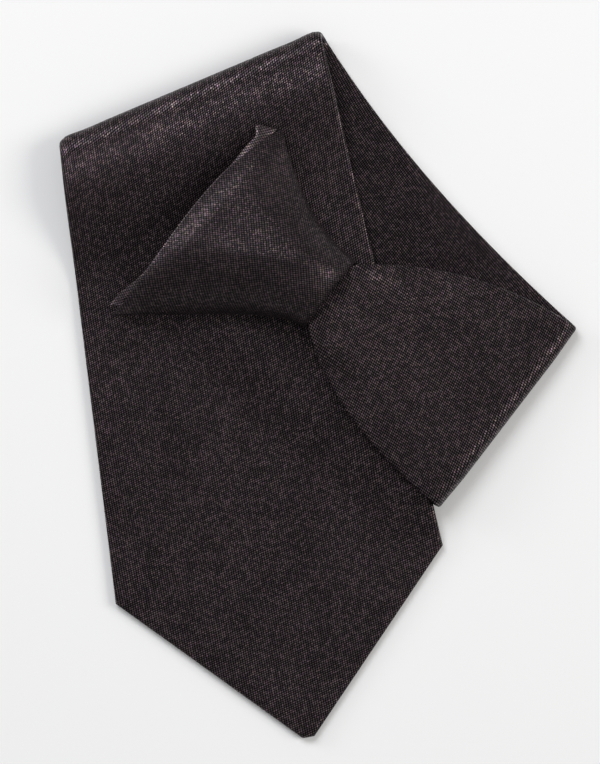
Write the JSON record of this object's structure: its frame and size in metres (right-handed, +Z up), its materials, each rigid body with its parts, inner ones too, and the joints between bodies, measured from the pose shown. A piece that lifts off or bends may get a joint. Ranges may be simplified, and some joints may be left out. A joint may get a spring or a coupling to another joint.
{
  "type": "clip-on necktie",
  "caption": "Pre-tied clip-on necktie in plain dark satin, with a sprung steel clip behind its knot, folded twice and lying flat.",
  "frame": {"origin": "bottom centre of the folded tie's box, on the surface it lies on", "axes": "+Z up from the table, +Y up the wide blade away from its tip, +X towards the first fold"},
  "size_m": [0.1288, 0.1778, 0.0218],
  "materials": {
    "satin": "woven polyester satin, soft sheen",
    "knot_satin": "the same satin, lined, cut on the bias",
    "interlining": "brushed undyed interlining",
    "lining": "smooth acetate tipping",
    "thread": "matt sewing thread",
    "label": "blank woven label",
    "nylon": "moulded nylon",
    "plated_steel": "nickel plated pressed steel",
    "spring_steel": "drawn spring wire"
  },
  "bodies": {
    "blade": {"blade_shell": "satin", "blade_interlining": "interlining", "tip_lining": "lining", "blade_seam_thread": "thread", "care_label": "label", "fold_turn": "satin", "fold_interlining": "interlining"},
    "knot_end": {"neck_shell": "satin", "neck_interlining": "interlining", "neck_seam_thread": "thread", "knot_wrap": "knot_satin", "knot_padding": "interlining", "knot_former": "nylon", "knot_top_hem": "knot_satin", "clip_base": "plated_steel", "clip_hinge_pin": "plated_steel", "clip_spring": "spring_steel", "clip_rivet_1": "plated_steel", "clip_rivet_2": "plated_steel"},
    "clip_lever": {"clip_lever": "plated_steel"}
  },
  "joints": [
    {"name": "display_fold", "type": "hinge", "parent": "blade", "child": "knot_end", "pos_m": [0.04097, -0.01481, 0.0037], "axis": [0.7394, 0.6728, -0.0274], "range_deg": [0, 165], "deforming": ["fold_turn", "fold_interlining"]},
    {"name": "clip_hinge", "type": "hinge", "parent": "knot_end", "child": "clip_lever", "pos_m": [-0.00993, 0.03666, 0.01121], "axis": [0.7337, 0.6794, 0], "range_deg": [0, 22], "stiffness_Nm_per_rad": 0.02, "springref_deg": -28.65, "deforming": ["clip_spring"]}
  ]
}
